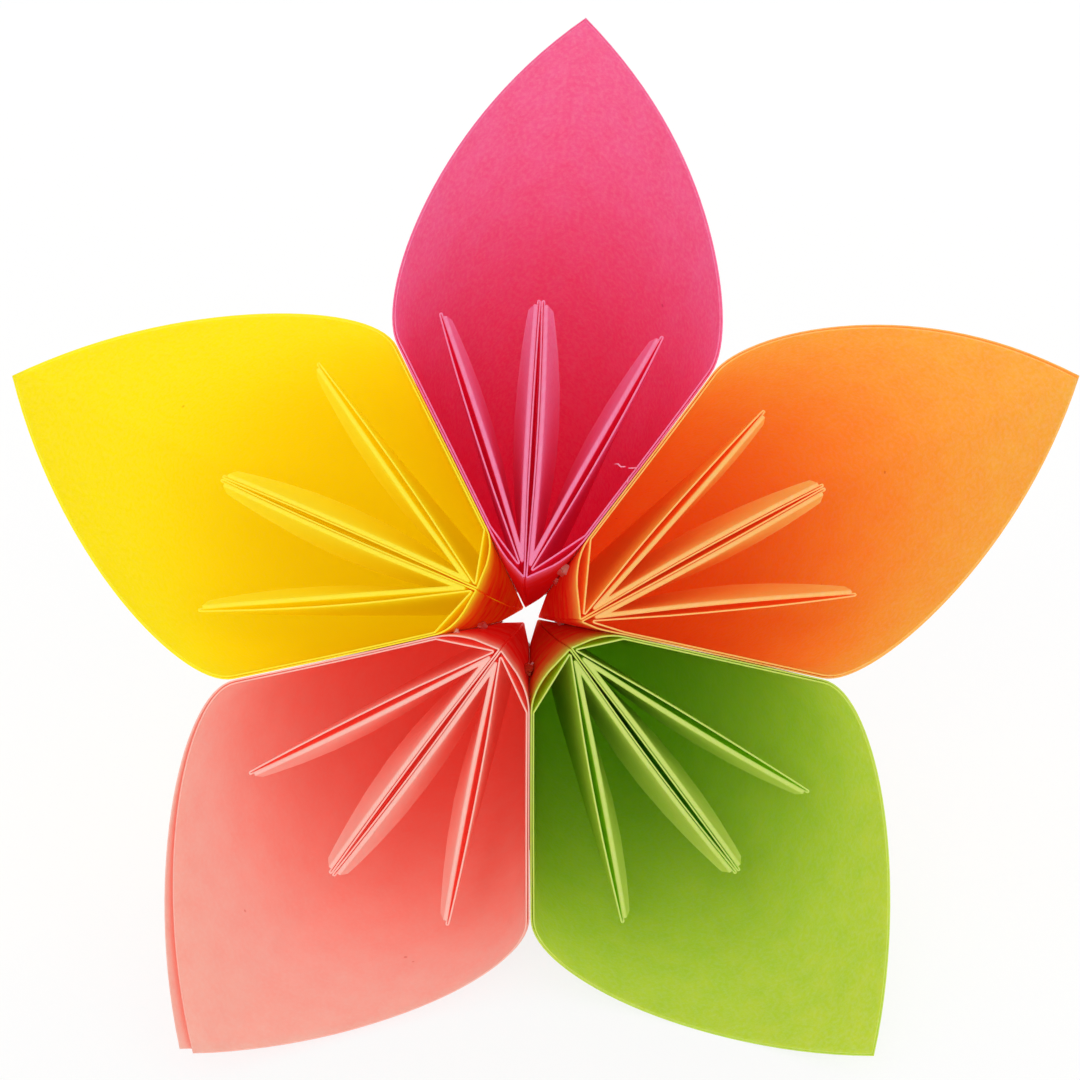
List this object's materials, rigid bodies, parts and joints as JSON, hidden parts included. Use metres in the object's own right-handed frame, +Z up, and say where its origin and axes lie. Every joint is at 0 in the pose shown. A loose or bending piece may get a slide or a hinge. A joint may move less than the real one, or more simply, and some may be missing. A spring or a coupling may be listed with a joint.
{
  "type": "folded paper flower",
  "caption": "Flower of cone-shaped petals, each folded from one square of coloured paper with fins inside, glued side by side round an open centre; a decoration",
  "frame": {"origin": "centre of the bounding box on the surface that the flower lies on", "axes": "+Z up; the flower lies on its two lower petals and its open face looks toward -Y and up; +X is across the flower, to the right for someone who looks into it"},
  "size_m": [0.0696, 0.0596, 0.0592],
  "materials": {
    "paper_pink": "dyed memo paper, matte, soft fibre mottling, paler at creases and raw edges",
    "paper_orange": "dyed memo paper, matte, soft fibre mottling, paler at creases and raw edges",
    "paper_green": "dyed memo paper, matte, soft fibre mottling, paler at creases and raw edges",
    "paper_salmon": "dyed memo paper, matte, soft fibre mottling, paler at creases and raw edges",
    "paper_yellow": "dyed memo paper, matte, soft fibre mottling, paler at creases and raw edges",
    "dried_glue": "dried craft glue, thin and slightly glossy"
  },
  "bodies": {
    "root": {"petal_pink": "paper_pink", "petal_orange": "paper_orange", "petal_green": "paper_green", "petal_salmon": "paper_salmon", "petal_yellow": "paper_yellow", "glue_films": "dried_glue"}
  },
  "joints": []
}
